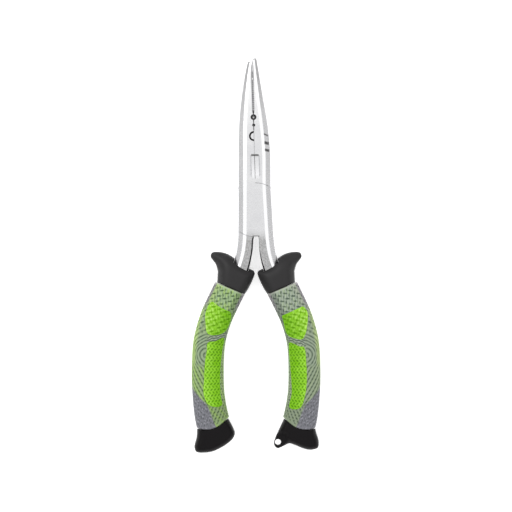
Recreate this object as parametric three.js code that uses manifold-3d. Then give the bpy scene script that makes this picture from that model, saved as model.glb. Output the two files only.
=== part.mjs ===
// Long-nose fishing pliers, closed and lying flat. Millimetres.
// +Y runs to the jaw tips, +Z is the thickness with the front face up, and the origin is on
// the pivot axis at the back face of the lap joint. Each steel half crosses the joint: the
// front half is the left jaw, the front lap plate and the right handle's tang, and the rear
// half is the right jaw, the rear lap plate and the left handle's tang.
import * as THREE from 'three';
import { mergeVertices } from 'three/addons/utils/BufferGeometryUtils.js';
import Module from 'manifold-3d';

const wasm = await Module();
wasm.setup();

// ---------------------------------------------------------------- driving dimensions
const GAP = 0.3;                  // clearance between neighbouring pieces
const HEAD_THICKNESS = 10.5;
const MID_Z = HEAD_THICKNESS / 2; // every piece is symmetric in thickness about this plane
const LAP_RADIUS = 15.6;          // the lap shoulders, concentric with the pivot
const JAW_LEAN = 0.0273;          // the closed jaws lean left by this much per millimetre
const MATING_X = 0.3;             // the mating plane's X beside the pivot
const HANDLE_AXIS_X = 0.35;       // the two handles mirror each other about this line
const LEFT_TIP_Y = 86.6;
const RIGHT_TIP_Y = 88.6;
const SHANK_END_Y = -38;
const HEAD_TOP_Y = 90;            // the head's loft runs past both tips, which are then cut

const RIVET_RADIUS = 3.4;
const RIVET_HEAD_RADIUS = 4.8;
const RIVET_HEAD_DEPTH = 1.6;

const SERRATION = { first: 56.4, last: 79.4, pitch: 1.14, width: 0.8, depth: 0.42 };
const GRIP_HOLE = { y: 54.0, radius: 1.65 };
const SPLIT_SHOT_HOLE = { y: 49.3, radius: 0.85 };
const CRIMP = { y: 42.9, radius: 2.1 };
const CUTTER = { bottom: 18.4, top: 32.4, halfWidth: 2.35, wallDepth: 0.6, depth: 1.3 };

const GRIP_HALF_WIDTH = 9.35;
const GRIP_HALF_THICKNESS = 7.3;
const GRIP_ROUNDNESS = 2.5;       // exponent of the grip's superellipse section
const GRIP_FLARE = 0.6;           // extra half width at the lip over the end cap
const PAD_DEPTH = 2.0;
const PAD_PROUD = 0.15;
const CORE_HALF_WIDTH = 5.8;
const CORE_HALF_THICKNESS = 3.9;
const TANG_HALF_WIDTH = 3.5;
const TANG_HALF_THICKNESS = 2.2;
const TANG_END_Y = -116;
const GUARD_HALF_THICKNESS = 7.3;
const CAP_HALF_THICKNESS = 6.9;
const TAB_HALF_THICKNESS = 3.6;
const LANYARD_HOLE = { x: 13.1, y: -135.1, radius: 1.75 };

// ---------------------------------------------------------------- curves and outlines
/** A smooth function of y through [y, value] knots, with no overshoot between them. */
function profile(knots) {
  const slopes = knots.map((knot, i) => {
    if (i === 0 || i === knots.length - 1) return 0;
    const before = (knot[1] - knots[i - 1][1]) / (knot[0] - knots[i - 1][0]);
    const after = (knots[i + 1][1] - knot[1]) / (knots[i + 1][0] - knot[0]);
    return before * after > 0 ? (2 * before * after) / (before + after) : 0;
  });
  const last = knots.length - 1;
  slopes[0] = (knots[1][1] - knots[0][1]) / (knots[1][0] - knots[0][0]);
  slopes[last] = (knots[last][1] - knots[last - 1][1]) / (knots[last][0] - knots[last - 1][0]);
  return (y) => {
    let i = 0;
    while (i < last - 1 && y > knots[i + 1][0]) i += 1;
    const [y0, v0] = knots[i];
    const [y1, v1] = knots[i + 1];
    const h = y1 - y0;
    const t = THREE.MathUtils.clamp((y - y0) / h, 0, 1);
    const s = 1 - t;
    return v0 * s * s * (1 + 2 * t) + v1 * t * t * (3 - 2 * t)
      + h * t * s * (slopes[i] * s - slopes[i + 1] * t);
  };
}

const headLeft = profile([
  [-38, -15.2], [-30, -12.4], [-22, -10.9], [-14, -10.3], [0, -10.25], [34, -10.2],
  [46, -10.0], [56, -9.35], [65, -8.35], [73, -7.15], [81, -5.75], [90, -3.7],
]);
const headRight = profile([
  [-38, 15.9], [-30, 13.1], [-22, 11.5], [-14, 10.7], [-4, 10.1], [6, 9.5], [14, 9.1],
  [32, 9.0], [39, 8.5], [47, 7.65], [55, 6.45], [64, 4.8], [73, 3.2], [81, 1.85], [90, 0.35],
]);
const headThickness = profile([
  [-38, 8.4], [-26, 9.6], [-17, HEAD_THICKNESS], [20, HEAD_THICKNESS], [36, 9.8],
  [60, 6.9], [80, 4.1], [90, 3.0],
]);
const shoulderWidth = profile([[-38, 3.6], [-17, 4.6], [30, 4.6], [60, 3.3], [90, 1.1]]);
const SHOULDER_HEIGHT = 0.4;      // of the thickness, on each face

// The crotch between the shanks widens downward from just inside the lap radius.
const CROTCH_TOP_Y = -15.4;
const crotchLeft = profile([
  [-41, -6.2], [-34.4, -3.9], [-28.9, -2.6], [-21.9, -1.55], [-18.4, -1.4], [CROTCH_TOP_Y, -0.9],
]);
const crotchRight = profile([
  [-41, 7.0], [-34.4, 4.6], [-28.9, 3.1], [-21.9, 2.1], [-18.4, 2.0], [CROTCH_TOP_Y, 1.6],
]);

const matingX = (y) => MATING_X - JAW_LEAN * y;

// The left handle's centre line, from inside the shank to the pommel.
const HANDLE_LINE = new THREE.CatmullRomCurve3([
  [-9.2, -33], [-12.6, -41], [-17.1, -50], [-22.9, -62.5], [-26.7, -76],
  [-27.8, -92], [-27.4, -107], [-25.4, -121], [-22.2, -132],
].map(([x, y]) => new THREE.Vector3(x, y, 0)), false, 'centripetal');

// Left handle outlines; the right handle's are their mirror images.
const GUARD_TOP = [
  [-22.0, -35.5], [-23.2, -31.6], [-26.2, -27.0], [-25.4, -24.9], [-22.6, -24.3],
  [-17.3, -25.2], [-12.8, -27.7], [-8.4, -31.6], [-2.8, -34.5], [-0.9, -35.5],
  [-0.35, -37.0],
];
const GUARD_ROOT = [[-0.9, -38.9], [-2.6, -42.9], [-4.4, -46.3], [-6.0, -48.6], [-22.3, -41.8]];
const GUARD_LINE = [[-22.6, -42.2], [-6.9, -48.9]];
const CAP_LINE = [[-39.0, -125.6], [-34.4, -127.3], [-30.0, -128.0], [-23.1, -126.6],
  [-15.8, -121.4], [-9.0, -114.5]];

const LEFT_CAP = [
  [-34.0, -127.7], [-34.3, -132.3], [-35.6, -138.1], [-34.4, -140.9], [-30.0, -141.4],
  [-24.8, -140.6], [-19.1, -137.9], [-13.6, -133.7], [-12.0, -130.1], [-12.9, -127.0],
  [-15.7, -121.7],
];
const RIGHT_CAP = [
  [34.7, -126.4], [35.4, -129.6], [36.8, -134.4], [36.4, -138.4], [32.0, -139.7],
  [27.5, -138.8], [22.6, -136.8], [19.6, -136.0], [16.2, -137.6], [12.8, -138.8],
  [11.1, -137.4], [10.8, -135.3], [11.7, -132.2], [14.0, -127.1], [16.7, -121.4],
];

const LEFT_UPPER_PAD = [
  [-25.4, -53.3], [-28.9, -58.9], [-29.2, -64.5], [-27.7, -71.9], [-21.7, -72.6],
  [-18.0, -71.1], [-15.9, -68.4], [-14.2, -63.7], [-14.4, -59.6], [-20.2, -57.0],
];
const LEFT_LOWER_PAD = [
  [-27.7, -77.1], [-23.2, -76.2], [-18.2, -74.5], [-19.1, -81.6], [-20.4, -93.9],
  [-20.3, -106.1], [-19.7, -113.8], [-26.8, -113.5], [-30.0, -107.9], [-29.9, -97.9],
  [-29.3, -87.7], [-28.3, -81.6],
];
const RIGHT_UPPER_PAD = [
  [27.6, -56.0], [30.2, -59.2], [30.4, -64.5], [29.1, -71.9], [27.2, -75.1],
  [23.5, -74.9], [18.4, -72.6], [16.0, -64.5], [15.4, -61.5], [20.5, -60.0], [25.0, -57.4],
];
const RIGHT_LOWER_PAD = [
  [19.6, -77.1], [22.7, -77.9], [25.7, -79.3], [28.1, -79.5], [29.6, -89.8],
  [29.8, -100.0], [29.0, -107.0], [25.9, -115.1], [19.8, -115.1], [20.9, -106.1],
  [20.1, -91.8], [19.3, -81.6],
];

// ---------------------------------------------------------------- solids
/** A closed indexed geometry as a manifold solid. */
function solid(geometry) {
  const bare = geometry.clone();
  bare.deleteAttribute('normal');
  bare.deleteAttribute('uv');
  const merged = mergeVertices(bare, 1e-4);
  return new wasm.Manifold(new wasm.Mesh({
    numProp: 3,
    vertProperties: new Float32Array(merged.attributes.position.array),
    triVerts: new Uint32Array(merged.index.array),
  }));
}

/** The geometry of a finished solid. */
function geometryOf(manifold) {
  const mesh = manifold.getMesh();
  const geometry = new THREE.BufferGeometry();
  geometry.setAttribute('position', new THREE.BufferAttribute(mesh.vertProperties, 3));
  geometry.setIndex(new THREE.BufferAttribute(mesh.triVerts, 1));
  geometry.computeVertexNormals();
  return geometry;
}

/** Six times the signed volume of an indexed mesh, which says which way its faces point. */
function signedVolume(points, index) {
  let volume = 0;
  for (let i = 0; i < index.length; i += 3) {
    const [a, b, c] = [points[index[i]], points[index[i + 1]], points[index[i + 2]]];
    volume += a.dot(new THREE.Vector3().crossVectors(b, c));
  }
  return volume;
}

/** A solid skinned over rings of equally many points, closed by a fan at each end. */
function loft(rings) {
  const count = rings[0].length;
  const points = rings.flat();
  const index = [];
  for (let r = 0; r + 1 < rings.length; r += 1) {
    for (let i = 0; i < count; i += 1) {
      const a = r * count + i;
      const b = r * count + ((i + 1) % count);
      index.push(a, b, b + count, a, b + count, a + count);
    }
  }
  [[0, 1], [rings.length - 1, 0]].forEach(([ring, flipped]) => {
    const centre = rings[ring].reduce((sum, p) => sum.add(p), new THREE.Vector3());
    points.push(centre.divideScalar(count));
    for (let i = 0; i < count; i += 1) {
      const pair = [ring * count + i, ring * count + ((i + 1) % count)];
      if (flipped) pair.reverse();
      index.push(points.length - 1, ...pair);
    }
  });
  if (signedVolume(points, index) < 0) index.reverse();
  const geometry = new THREE.BufferGeometry().setFromPoints(points);
  geometry.setIndex(index);
  return solid(geometry);
}

const shapeOf = (outline) => new THREE.Shape(outline.map(([x, y]) => new THREE.Vector2(x, y)));

/** An outline extruded from z0 to z1. */
function prism(outline, z0, z1) {
  const geometry = new THREE.ExtrudeGeometry(shapeOf(outline), {
    depth: z1 - z0,
    bevelEnabled: false,
  });
  return solid(geometry.translate(0, 0, z0));
}

/** An outline extruded through the whole thickness, past both faces. */
const through = (outline) => prism(outline, MID_Z - 20, MID_Z + 20);

/** A round bar along Z. */
function bar(x, y, radius, z0, z1, segments = 24) {
  const geometry = new THREE.CylinderGeometry(radius, radius, z1 - z0, segments);
  return solid(geometry.rotateX(Math.PI / 2).translate(x, y, (z0 + z1) / 2));
}

/** An outline extruded about the mid plane with a rounded rim. */
function moulding(outline, halfThickness, rim) {
  const geometry = new THREE.ExtrudeGeometry(shapeOf(outline), {
    depth: 2 * (halfThickness - rim),
    bevelThickness: rim,
    bevelSize: rim,
    bevelOffset: -rim,
    bevelSegments: 2,
  });
  return solid(geometry.translate(0, 0, MID_Z - halfThickness + rim));
}

/** A closed smooth curve through the outline's points. */
function smoothOutline(outline, divisions) {
  const points = outline.map(([x, y]) => new THREE.Vector3(x, y, 0));
  const curve = new THREE.CatmullRomCurve3(points, true, 'centripetal');
  return curve.getSpacedPoints(divisions).slice(0, -1).map((p) => [p.x, p.y]);
}

/** An open smooth curve through the given points. */
function smoothLine(line, divisions) {
  const points = line.map(([x, y]) => new THREE.Vector3(x, y, 0));
  const curve = new THREE.CatmullRomCurve3(points, false, 'centripetal');
  return curve.getSpacedPoints(divisions).map((p) => [p.x, p.y]);
}

/** The outline moved outward by distance, or inward where it is negative. */
function offsetOutline(outline, distance) {
  const area = THREE.ShapeUtils.area(shapeOf(outline).getPoints());
  const turn = Math.sign(area) * distance;
  return outline.map(([x, y], i) => {
    const [px, py] = outline[(i + outline.length - 1) % outline.length];
    const [nx, ny] = outline[(i + 1) % outline.length];
    const length = Math.hypot(nx - px, ny - py);
    return [x + ((ny - py) / length) * turn, y - ((nx - px) / length) * turn];
  });
}

const mirrored = (outline) => outline.map(([x, y]) => [2 * HANDLE_AXIS_X - x, y]);

// ---------------------------------------------------------------- steel head
/** The head's section at y: flat on both faces, with broad rounded shoulders. */
function headRing(y) {
  const [x0, x1] = [headLeft(y), headRight(y)];
  const half = headThickness(y) / 2;
  const width = shoulderWidth(y);
  const height = 2 * half * SHOULDER_HEIGHT;
  const steps = 5;
  const corners = [[x1, 1, 0], [x0, 1, 1], [x0, -1, 2], [x1, -1, 3]];
  return corners.flatMap(([x, face, quarter]) => {
    const cx = x === x1 ? x1 - width : x0 + width;
    const cz = MID_Z + face * (half - height);
    return Array.from({ length: steps + 1 }, (_, i) => {
      const angle = (quarter + i / steps) * (Math.PI / 2);
      return new THREE.Vector3(cx + width * Math.cos(angle), y, cz + height * Math.sin(angle));
    });
  });
}

/** The head with both jaws and shanks, before it is cut into its two halves. */
function wholeHead() {
  const stations = [
    SHANK_END_Y, -30, -22, -17, -8, 8, 20, 28, 36, 44, 52, 60, 68, 76, 83, HEAD_TOP_Y,
  ];
  const crotchStations = [CROTCH_TOP_Y, -21, -26.2, -30.5, -34.4, SHANK_END_Y - 3];
  const crotch = [
    ...crotchStations.map((y) => [crotchLeft(y), y]),
    ...crotchStations.reverse().map((y) => [crotchRight(y), y]),
  ];
  return loft(stations.map(headRing)).subtract(through(crotch));
}

/** The plan area of one jaw, whose tip is rounded and whose root ends beside the pivot. */
function jawArea(side, tipY) {
  const inner = (y) => matingX(y) + side * (GAP / 2);
  const outer = side < 0 ? headLeft : headRight;
  const relief = tipY - 3;
  const shoulderY = tipY - 1.5;
  const crown = [
    [0.08, 0.75], [0.25, 0.45], [0.5, 0.15], [0.72, 0], [0.9, 0.35], [1, 1.1],
  ].map(([across, drop]) => {
    const y = tipY - drop;
    return [THREE.MathUtils.lerp(inner(shoulderY) + side * 0.2, outer(y), across), y];
  });
  return [
    [inner(0), 0], [inner(relief), relief], ...crown,
    [side * 30, shoulderY], [side * 30, 0],
  ];
}

/** The joint's disc between two heights. */
const lapDisc = (radius, z0, z1) => bar(0, 0, radius, z0, z1, 96);

/** The countersunk rivet about its own middle, grown by clearance and run on past the faces. */
function rivetSolid(clearance, overrun) {
  const neck = RIVET_RADIUS + clearance;
  const flare = (RIVET_HEAD_RADIUS - RIVET_RADIUS) / RIVET_HEAD_DEPTH;
  const rim = neck + flare * (RIVET_HEAD_DEPTH + overrun);
  const neckZ = MID_Z - RIVET_HEAD_DEPTH;
  const endZ = MID_Z + overrun;
  const outline = [
    [0, -endZ], [rim, -endZ], [neck, -neckZ], [neck, neckZ], [rim, endZ], [0, endZ],
  ];
  const points = outline.map(([r, z]) => new THREE.Vector2(r, z));
  return solid(new THREE.LatheGeometry(points, 36).rotateX(Math.PI / 2));
}

/** The tang that a handle is moulded round, grown by clearance. */
function tang(side, clearance) {
  return sweep(side, 0, TANG_END_Y - clearance, (t) => {
    const blend = THREE.MathUtils.smoothstep(t, 0, 0.16);
    return [
      THREE.MathUtils.lerp(4.1, TANG_HALF_WIDTH, blend) + clearance,
      THREE.MathUtils.lerp(4.0, TANG_HALF_THICKNESS, blend) + clearance,
    ];
  }, 4, 12, 12);
}

/** Cuts that both jaws share along the mating plane. */
function jawCuts() {
  const cuts = [];
  const { first, last, pitch, width, depth } = SERRATION;
  for (let y = first; y <= last; y += pitch) {
    const x = matingX(y);
    const reach = depth + GAP / 2;
    cuts.push(through([[x - reach, y], [x, y - width / 2], [x + reach, y], [x, y + width / 2]]));
  }
  [GRIP_HOLE, SPLIT_SHOT_HOLE].forEach(({ y, radius }) => {
    cuts.push(bar(matingX(y), y, radius, -5, 20));
  });
  const { bottom, top, halfWidth, wallDepth, depth: cutDepth } = CUTTER;
  [-1, 1].forEach((face) => {
    const faceZ = MID_Z + face * (MID_Z + 0.5);
    const floorZ = MID_Z + face * (MID_Z - cutDepth);
    const wall = MID_Z + face * (MID_Z - wallDepth);
    const ring = (y) => [
      [-halfWidth, faceZ], [-halfWidth, wall], [0, floorZ], [halfWidth, wall], [halfWidth, faceZ],
    ].map(([x, z]) => new THREE.Vector3(matingX(y) + x, y, z));
    cuts.push(loft([ring(bottom), ring(top)]));
  });
  return cuts.reduce((all, cut) => all.add(cut));
}

/** Both steel halves: each has one jaw, one lap plate and the opposite handle's tang. */
function steelHalves() {
  const head = wholeHead();
  const cuts = jawCuts();
  const rivetHole = rivetSolid(GAP, 1).translate(0, 0, MID_Z);
  const half = (jawSide, plateZ, openZ) => {
    const tipY = jawSide < 0 ? LEFT_TIP_Y : RIGHT_TIP_Y;
    const shankArea = [[0.3, -13], [0.3, -45], [-jawSide * 30, -45], [-jawSide * 30, -13]];
    const bump = bar(matingX(CRIMP.y), CRIMP.y, CRIMP.radius + (jawSide < 0 ? GAP : 0), -5, 20);
    const plainJaw = head.intersect(through(jawArea(jawSide, tipY)));
    const jaw = jawSide < 0 ? plainJaw.subtract(bump) : plainJaw.add(head.intersect(bump));
    return jaw.add(head.intersect(through(shankArea)))
      .subtract(lapDisc(LAP_RADIUS + GAP, ...openZ))
      .add(head.intersect(lapDisc(LAP_RADIUS, ...plateZ)))
      .subtract(cuts)
      .add(tang(-jawSide, 0))
      .subtract(rivetHole);
  };
  const [above, below] = [MID_Z + GAP / 2, MID_Z - GAP / 2];
  return {
    front: half(-1, [above, 20], [-10, above]),
    rear: half(1, [-10, below], [below, 20]),
  };
}

// ---------------------------------------------------------------- handles
/** A solid swept along a handle's centre line from parameter t0 down to endY. */
function sweep(side, t0, endY, halfSizes, power, steps, ringPoints) {
  let t1 = 1;
  while (HANDLE_LINE.getPoint(t1).y < endY) t1 -= 0.005;
  const rings = [];
  for (let s = 0; s <= steps; s += 1) {
    const t = THREE.MathUtils.lerp(t0, t1, s / steps);
    const centre = HANDLE_LINE.getPoint(t);
    const tangent = HANDLE_LINE.getTangent(t);
    const across = new THREE.Vector3(-tangent.y, tangent.x, 0);
    const [halfWidth, halfThickness] = halfSizes(t);
    rings.push(Array.from({ length: ringPoints }, (_, i) => {
      const angle = (i / ringPoints) * 2 * Math.PI;
      const u = Math.sign(Math.cos(angle)) * Math.abs(Math.cos(angle)) ** (2 / power);
      const v = Math.sign(Math.sin(angle)) * Math.abs(Math.sin(angle)) ** (2 / power);
      const point = centre.clone().addScaledVector(across, u * halfWidth);
      point.z = MID_Z + v * halfThickness;
      if (side > 0) point.x = 2 * HANDLE_AXIS_X - point.x;
      return point;
    }));
  }
  return loft(rings);
}

/** The length of handle between the guard and the end cap, as a plan area. */
function gripArea(side, gap) {
  const [outer, inner] = GUARD_LINE;
  const slope = (inner[1] - outer[1]) / (inner[0] - outer[0]);
  const line = (x) => outer[1] + slope * (x - outer[0]) - gap;
  const capLine = smoothLine(CAP_LINE, 20).map(([x, y]) => [x, y + gap]);
  const area = [...capLine, [2, -100], [2, line(2)], [-34, line(-34)], [-44, -100]];
  return side > 0 ? mirrored(area) : area;
}

const GRIP_START = 0.03;
const GRIP_END_Y = -131;

/** A grip's outer form, grown by growth all round. */
const gripForm = (side, growth) => sweep(side, GRIP_START, GRIP_END_Y, (t) => [
  GRIP_HALF_WIDTH + GRIP_FLARE * THREE.MathUtils.smoothstep(t, 0.75, 0.95) + growth,
  GRIP_HALF_THICKNESS + growth,
], GRIP_ROUNDNESS, 18, 20);

/** The rigid core's outer form, grown by growth all round. */
const coreForm = (side, growth) => sweep(side, 0, GRIP_END_Y - 2, () => [
  CORE_HALF_WIDTH + growth, CORE_HALF_THICKNESS + growth,
], 3, 14, 12);

/** A pad's plan area, on one face of the grip. */
const padArea = (outline, face, gap) => {
  const area = offsetOutline(smoothOutline(outline, 30), gap);
  return face > 0 ? prism(area, MID_Z + 2.5, MID_Z + 20) : prism(area, MID_Z - 20, MID_Z - 2.5);
};

/** One grip: its skin, its rigid core and the four pads let into it. */
function grip(side, padOutlines) {
  const padBed = gripForm(side, -PAD_DEPTH);
  const padForm = gripForm(side, PAD_PROUD);
  const padUnder = gripForm(side, GAP - PAD_DEPTH);
  const area = through(gripArea(side, GAP / 2));
  let skin = gripForm(side, 0).subtract(coreForm(side, GAP)).intersect(area);
  const pads = {};
  Object.entries(padOutlines).forEach(([place, outline]) => {
    [['front', 1], ['back', -1]].forEach(([faceName, face]) => {
      skin = skin.subtract(padArea(outline, face, GAP).subtract(padBed));
      pads[`${faceName}_${place}`] = padArea(outline, face, 0).intersect(padForm)
        .subtract(padUnder);
    });
  });
  const core = coreForm(side, 0).intersect(area).subtract(tang(side, GAP));
  return { skin, core, pads };
}

/** The shank and tang grown by the clearance, as the guard's passage. */
function guardPassage(side) {
  const clearance = GAP + 0.05;
  const [outerEdge, innerEdge] = side < 0 ? [headLeft, crotchLeft] : [headRight, crotchRight];
  const rings = [SHANK_END_Y - 1, -34.4, -30, -26.2, -22].map((y) => {
    const half = headThickness(y) / 2 + clearance;
    const [outerX, innerX] = [outerEdge(y) + side * clearance, innerEdge(y) - side * clearance];
    return [[outerX, 1], [innerX, 1], [innerX, -1], [outerX, -1]]
      .map(([x, face]) => new THREE.Vector3(x, y, MID_Z + face * half));
  });
  return loft(rings).add(tang(side, clearance));
}

/** The charcoal collar with its finger wing, fitted round the shank. */
function guard(side) {
  const outline = [...smoothLine(GUARD_TOP, 24), ...GUARD_ROOT];
  return moulding(side > 0 ? mirrored(outline) : outline, GUARD_HALF_THICKNESS, 1.4)
    .subtract(guardPassage(side));
}

/** An end cap, cut back to the flat lanyard tab where it has one. */
function endCap(outline, side, hasTab) {
  let body = moulding(smoothOutline(outline, 40), CAP_HALF_THICKNESS, 1.3);
  const line = smoothLine(CAP_LINE, 20).map(([x, y]) => [x, y - GAP / 2]);
  const above = [...line, [-5, -100], [-40, -100]];
  body = body.subtract(through(side > 0 ? mirrored(above) : above));
  if (hasTab) {
    const tabArea = [[18.8, -145], [18.8, -137], [15.6, -129.5], [9, -127], [0, -127], [0, -145]];
    [[MID_Z + TAB_HALF_THICKNESS, 30], [-20, MID_Z - TAB_HALF_THICKNESS]].forEach(([z0, z1]) => {
      body = body.subtract(prism(tabArea, z0, z1));
    });
    body = body.subtract(bar(LANYARD_HOLE.x, LANYARD_HOLE.y, LANYARD_HOLE.radius, -10, 30));
  }
  return body;
}

// ---------------------------------------------------------------- materials and assembly
const finish = (color, roughness, metalness) => () => (
  new THREE.MeshStandardMaterial({ color, roughness, metalness })
);
const steelFinish = finish('#d2d3d6', 0.28, 1.0);
const guardFinish = finish('#3a383a', 0.55, 0.0);
const capFinish = finish('#221f20', 0.5, 0.0);
const coreFinish = finish('#2b2b2e', 0.6, 0.0);
const skinFinish = finish('#74787a', 0.75, 0.0);
const padFinish = finish('#82c81e', 0.7, 0.0);

/** A named mesh of one finished solid. */
function piece(name, body, material) {
  const mesh = new THREE.Mesh(geometryOf(body), material());
  mesh.name = name;
  return mesh;
}

/** A handle's moulded pieces, as one group. */
function handle(name, side, padOutlines, cap) {
  const group = new THREE.Group();
  const { skin, core, pads } = grip(side, padOutlines);
  group.add(
    piece(`${name}_guard`, guard(side), guardFinish),
    piece(`${name}_grip_core`, core, coreFinish),
    piece(`${name}_grip_skin`, skin, skinFinish),
    piece(`${name}_end_cap`, cap, capFinish),
  );
  Object.entries(pads).forEach(([place, body]) => {
    group.add(piece(`${name}_pad_${place}`, body, padFinish));
  });
  return group;
}

const pliers = new THREE.Group();
const { front, rear } = steelHalves();
const rivet = piece('pivot_rivet', rivetSolid(0, 0), steelFinish);
rivet.position.z = MID_Z;
pliers.add(
  piece('front_half', front, steelFinish),
  piece('rear_half', rear, steelFinish),
  rivet,
  handle('left', -1, { upper: LEFT_UPPER_PAD, lower: LEFT_LOWER_PAD }, endCap(LEFT_CAP, -1, false)),
  handle('right', 1, { upper: RIGHT_UPPER_PAD, lower: RIGHT_LOWER_PAD }, endCap(RIGHT_CAP, 1, true)),
);

export default pliers;
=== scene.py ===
"""Looks for the long-nose fishing pliers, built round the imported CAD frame.

Outlines are in millimetres in the row frame: +Y to the jaw tips, +Z out of the front face.
"""

import math

import bmesh
import bpy
import numpy as np
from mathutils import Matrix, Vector
from mathutils.geometry import delaunay_2d_cdt


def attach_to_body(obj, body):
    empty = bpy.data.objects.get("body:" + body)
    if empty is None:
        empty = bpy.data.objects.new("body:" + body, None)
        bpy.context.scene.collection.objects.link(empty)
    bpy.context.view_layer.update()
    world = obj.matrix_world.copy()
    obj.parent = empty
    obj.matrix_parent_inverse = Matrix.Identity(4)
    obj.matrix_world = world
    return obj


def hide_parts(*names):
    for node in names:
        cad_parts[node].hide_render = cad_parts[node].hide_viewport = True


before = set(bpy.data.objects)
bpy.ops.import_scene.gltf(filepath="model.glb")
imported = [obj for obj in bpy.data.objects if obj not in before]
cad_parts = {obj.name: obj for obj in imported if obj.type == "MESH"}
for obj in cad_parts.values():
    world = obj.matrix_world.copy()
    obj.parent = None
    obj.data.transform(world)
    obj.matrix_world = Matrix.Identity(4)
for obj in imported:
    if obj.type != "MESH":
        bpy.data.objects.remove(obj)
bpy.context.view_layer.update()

MM = 0.001
TAU = 2 * math.pi
MID = 5.25  # the mid plane that every piece is symmetric about
HANDLE_AXIS = 0.35  # the right handle mirrors the left one about this X
SLIT = 0.015  # half the hairline between steel faces that meet


# ---- curves
def profile(knots):
    """A smooth function through [y, value] knots with no overshoot."""
    y, v = np.array(knots, float).T
    d = np.diff(v) / np.diff(y)
    m = np.zeros(len(y))
    same = d[:-1] * d[1:] > 0
    m[1:-1][same] = 2 * d[:-1][same] * d[1:][same] / (d[:-1][same] + d[1:][same])
    m[0], m[-1] = d[0], d[-1]

    def at(q):
        q = np.asarray(q, float)
        i = np.clip(np.searchsorted(y, q, side="right") - 1, 0, len(y) - 2)
        h = y[i + 1] - y[i]
        t = np.clip((q - y[i]) / h, 0, 1)
        s = 1 - t
        return (v[i] * s * s * (1 + 2 * t) + v[i + 1] * t * t * (3 - 2 * t)
                + h * t * s * (m[i] * s - m[i + 1] * t))

    return at


def catmull(points, closed=False, per=24):
    """Dense points on a centripetal Catmull-Rom curve."""
    p = np.array(points, float)
    n = len(p)
    if closed:
        q = np.vstack([p[-1], p, p[0], p[1]])
        spans = n
    else:
        q = np.vstack([2 * p[0] - p[1], p, 2 * p[-1] - p[-2]])
        spans = n - 1
    t = np.linspace(0, 1, per, endpoint=False)[:, None]
    out = []
    for i in range(spans):
        a, b, c, d = q[i : i + 4]
        k0, k1, k2 = (np.linalg.norm(edge) ** 0.5 for edge in (b - a, c - b, d - c))
        m1 = ((b - a) / k0 - (c - a) / (k0 + k1) + (c - b) / k1) * k1
        m2 = ((c - b) / k1 - (d - b) / (k1 + k2) + (d - c) / k2) * k1
        out.append(b + m1 * t + (3 * (c - b) - 2 * m1 - m2) * t**2
                   + (2 * (b - c) + m1 + m2) * t**3)
    if not closed:
        out.append(p[-1:])
    return np.vstack(out)


def resample(line, step, closed=False):
    """The same line with points evenly spaced by about step."""
    p = np.vstack([line, line[:1]]) if closed else np.asarray(line, float)
    d = np.r_[0, np.cumsum(np.linalg.norm(np.diff(p, axis=0), axis=1))]
    n = max(int(round(d[-1] / step)), 2)
    t = np.linspace(0, d[-1], n + 1)
    if closed:
        t = t[:-1]
    return np.stack([np.interp(t, d, p[:, 0]), np.interp(t, d, p[:, 1])], -1)


def ease(x, lo, hi):
    """A smooth step from 0 at lo to 1 at hi."""
    t = np.clip((x - lo) / (hi - lo), 0, 1)
    return t * t * (3 - 2 * t)


def distance_to(points, line, closed=True):
    """Each point's distance to a polyline."""
    a = np.asarray(line, float)
    b = np.roll(a, -1, axis=0) if closed else a[1:]
    a = a if closed else a[:-1]
    best = np.full(len(points), 1e9)
    ab = b - a
    len2 = np.maximum((ab**2).sum(1), 1e-12)
    for k in range(0, len(points), 4000):
        p = points[k : k + 4000, None, :]
        t = np.clip(((p - a) * ab).sum(-1) / len2, 0, 1)
        best[k : k + 4000] = np.sqrt(((p - a - ab * t[..., None]) ** 2).sum(-1)).min(1)
    return best


def inside(points, polygon):
    """Which points lie in the polygon."""
    x, y = points[:, 0], points[:, 1]
    hit = np.zeros(len(points), bool)
    for (x0, y0), (x1, y1) in zip(polygon, np.roll(polygon, -1, axis=0)):
        if y0 == y1:
            continue
        crosses = (y0 > y) != (y1 > y)
        hit ^= crosses & (x < x0 + (y - y0) * (x1 - x0) / (y1 - y0))
    return hit


def ramp(*stops):
    """A function linear between (position, value) stops."""
    xs, vs = np.array(stops, float).T
    return lambda x: np.interp(x, xs, vs)


# ---- meshes
def place_in_scene(name, data):
    """A new object in the scene."""
    obj = bpy.data.objects.new(name, data)
    bpy.context.scene.collection.objects.link(obj)
    return obj


def make(name, verts, faces):
    """A mesh object from millimetre vertices, its faces turned outward."""
    verts = np.asarray(verts, float)
    volume = 0.0
    for f in faces:
        a = verts[f[0]]
        for i in range(1, len(f) - 1):
            volume += np.dot(a, np.cross(verts[f[i]], verts[f[i + 1]]))
    if volume < 0:
        faces = [tuple(reversed(f)) for f in faces]
    mesh = bpy.data.meshes.new(name)
    mesh.from_pydata((verts * MM).tolist(), [], [tuple(f) for f in faces])
    mesh.validate()
    return place_in_scene(name, mesh)


def tube(rings, closed=False):
    """Rings of equally many points joined into a tube, its ends capped unless it is closed."""
    rings = np.asarray(rings, float)
    rows, cols = rings.shape[:2]
    verts = rings.reshape(-1, 3)
    faces = []
    for r in range(rows if closed else rows - 1):
        a, b = r * cols, ((r + 1) % rows) * cols
        for i in range(cols):
            j = (i + 1) % cols
            faces.append((a + i, a + j, b + j, b + i))
    if not closed:
        faces.append(tuple(range(cols - 1, -1, -1)))
        faces.append(tuple(range((rows - 1) * cols, rows * cols)))
    return verts, faces


def solid(rings):
    """A closed solid through rings of equally many points."""
    return make("tool", *tube(rings))


def prism(outline, z0=MID - 20, z1=MID + 20):
    """An outline carried from z0 to z1."""
    o = np.asarray(outline, float)
    return solid([np.c_[o, np.full(len(o), z)] for z in (z0, z1)])


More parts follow.
